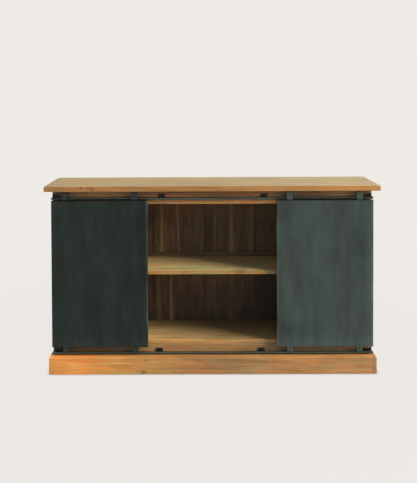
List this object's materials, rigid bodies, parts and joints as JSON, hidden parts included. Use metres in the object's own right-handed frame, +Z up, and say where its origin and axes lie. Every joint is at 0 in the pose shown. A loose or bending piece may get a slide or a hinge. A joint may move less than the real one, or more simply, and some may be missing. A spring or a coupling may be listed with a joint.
{
  "type": "sideboard",
  "caption": "Low wooden sideboard with an open shelved middle bay and plain steel-sheet sliding doors hung on rollers that run on round bar rails",
  "frame": {"origin": "centre of the footprint, on the floor", "axes": "X is the width with +X to the viewer's right, -Y is the front with the doors, Z is up"},
  "size_m": [1.6, 0.45, 0.9],
  "materials": {
    "top_wood": "oiled reclaimed hardwood, matt",
    "base_wood": "oiled reclaimed hardwood, matt",
    "carcass_wood": "oiled reclaimed hardwood, matt",
    "dark_wood": "dark stained boards, matt",
    "core_board": "plain sawn board",
    "door_sheet_steel": "dark gunmetal sheet, waxed satin",
    "rail_steel": "dark steel bar, satin",
    "black_steel": "black steel, satin",
    "roller_steel": "turned steel",
    "fastener_steel": "plated steel"
  },
  "bodies": {
    "cabinet": {"back_board_1": "dark_wood", "back_board_2": "dark_wood", "back_board_3": "dark_wood", "back_board_4": "dark_wood", "back_board_5": "dark_wood", "back_board_6": "dark_wood", "base_deck": "base_wood", "base_lipping_left": "base_wood", "base_lipping_right": "base_wood", "bottom_rail": "rail_steel", "bracket_screws": "fastener_steel", "floor_back_rail": "dark_wood", "floor_board": "carcass_wood", "front_apron": "carcass_wood", "lower_front_rail": "carcass_wood", "partition_left": "carcass_wood", "partition_right": "carcass_wood", "rail_brackets": "black_steel", "shelf_back_batten": "dark_wood", "shelf_centre": "carcass_wood", "shelf_left": "carcass_wood", "shelf_right": "carcass_wood", "side_panel_left": "carcass_wood", "side_panel_right": "carcass_wood", "skirt_back": "base_wood", "skirt_front": "base_wood", "skirt_left": "base_wood", "skirt_right": "base_wood", "stop_brackets": "black_steel", "top_back_rail": "dark_wood", "top_board_1": "top_wood", "top_board_2": "top_wood", "top_board_3": "top_wood", "top_board_4": "top_wood", "top_lipping_left": "top_wood", "top_lipping_right": "top_wood", "top_rail": "rail_steel"},
    "left_door": {"left_axle_bolts": "fastener_steel", "left_axle_nuts": "fastener_steel", "left_door_core": "core_board", "left_door_skin": "door_sheet_steel", "left_strap_inner": "black_steel", "left_strap_outer": "black_steel", "left_strap_screws": "fastener_steel"},
    "right_door": {"right_axle_bolts": "fastener_steel", "right_axle_nuts": "fastener_steel", "right_door_core": "core_board", "right_door_skin": "door_sheet_steel", "right_strap_inner": "black_steel", "right_strap_outer": "black_steel", "right_strap_screws": "fastener_steel"},
    "left_roller_inner_bottom": {"left_roller_inner_bottom": "roller_steel"},
    "left_roller_inner_top": {"left_roller_inner_top": "roller_steel"},
    "left_roller_outer_bottom": {"left_roller_outer_bottom": "roller_steel"},
    "left_roller_outer_top": {"left_roller_outer_top": "roller_steel"},
    "right_roller_inner_bottom": {"right_roller_inner_bottom": "roller_steel"},
    "right_roller_inner_top": {"right_roller_inner_top": "roller_steel"},
    "right_roller_outer_bottom": {"right_roller_outer_bottom": "roller_steel"},
    "right_roller_outer_top": {"right_roller_outer_top": "roller_steel"}
  },
  "joints": [
    {"name": "left_door_slide", "type": "slide", "parent": "cabinet", "child": "left_door", "axis": [1, 0, 0], "range_m": [-0.0045, 0.3075]},
    {"name": "left_roller_outer_top_spin", "type": "hinge", "parent": "left_door", "child": "left_roller_outer_top", "pos_m": [-0.7065, -0.174, 0.8553], "axis": [0, 1, 0], "continuous": true},
    {"name": "left_roller_outer_bottom_spin", "type": "hinge", "parent": "left_door", "child": "left_roller_outer_bottom", "pos_m": [-0.7065, -0.174, 0.108], "axis": [0, 1, 0], "continuous": true},
    {"name": "left_roller_inner_top_spin", "type": "hinge", "parent": "left_door", "child": "left_roller_inner_top", "pos_m": [-0.3725, -0.174, 0.8553], "axis": [0, 1, 0], "continuous": true},
    {"name": "left_roller_inner_bottom_spin", "type": "hinge", "parent": "left_door", "child": "left_roller_inner_bottom", "pos_m": [-0.3725, -0.174, 0.108], "axis": [0, 1, 0], "continuous": true},
    {"name": "right_door_slide", "type": "slide", "parent": "cabinet", "child": "right_door", "axis": [-1, 0, 0], "range_m": [-0.0045, 0.3075]},
    {"name": "right_roller_outer_top_spin", "type": "hinge", "parent": "right_door", "child": "right_roller_outer_top", "pos_m": [0.7065, -0.174, 0.8553], "axis": [0, 1, 0], "continuous": true},
    {"name": "right_roller_outer_bottom_spin", "type": "hinge", "parent": "right_door", "child": "right_roller_outer_bottom", "pos_m": [0.7065, -0.174, 0.108], "axis": [0, 1, 0], "continuous": true},
    {"name": "right_roller_inner_top_spin", "type": "hinge", "parent": "right_door", "child": "right_roller_inner_top", "pos_m": [0.3725, -0.174, 0.8553], "axis": [0, 1, 0], "continuous": true},
    {"name": "right_roller_inner_bottom_spin", "type": "hinge", "parent": "right_door", "child": "right_roller_inner_bottom", "pos_m": [0.3725, -0.174, 0.108], "axis": [0, 1, 0], "continuous": true}
  ],
  "couplings": [
    {"joint": "left_roller_outer_top_spin", "follows": "left_door_slide", "rad_per_m": 83.333},
    {"joint": "left_roller_outer_bottom_spin", "follows": "left_door_slide", "rad_per_m": 83.333},
    {"joint": "left_roller_inner_top_spin", "follows": "left_door_slide", "rad_per_m": 83.333},
    {"joint": "left_roller_inner_bottom_spin", "follows": "left_door_slide", "rad_per_m": 83.333},
    {"joint": "right_roller_outer_top_spin", "follows": "right_door_slide", "rad_per_m": -83.333},
    {"joint": "right_roller_outer_bottom_spin", "follows": "right_door_slide", "rad_per_m": -83.333},
    {"joint": "right_roller_inner_top_spin", "follows": "right_door_slide", "rad_per_m": -83.333},
    {"joint": "right_roller_inner_bottom_spin", "follows": "right_door_slide", "rad_per_m": -83.333}
  ]
}
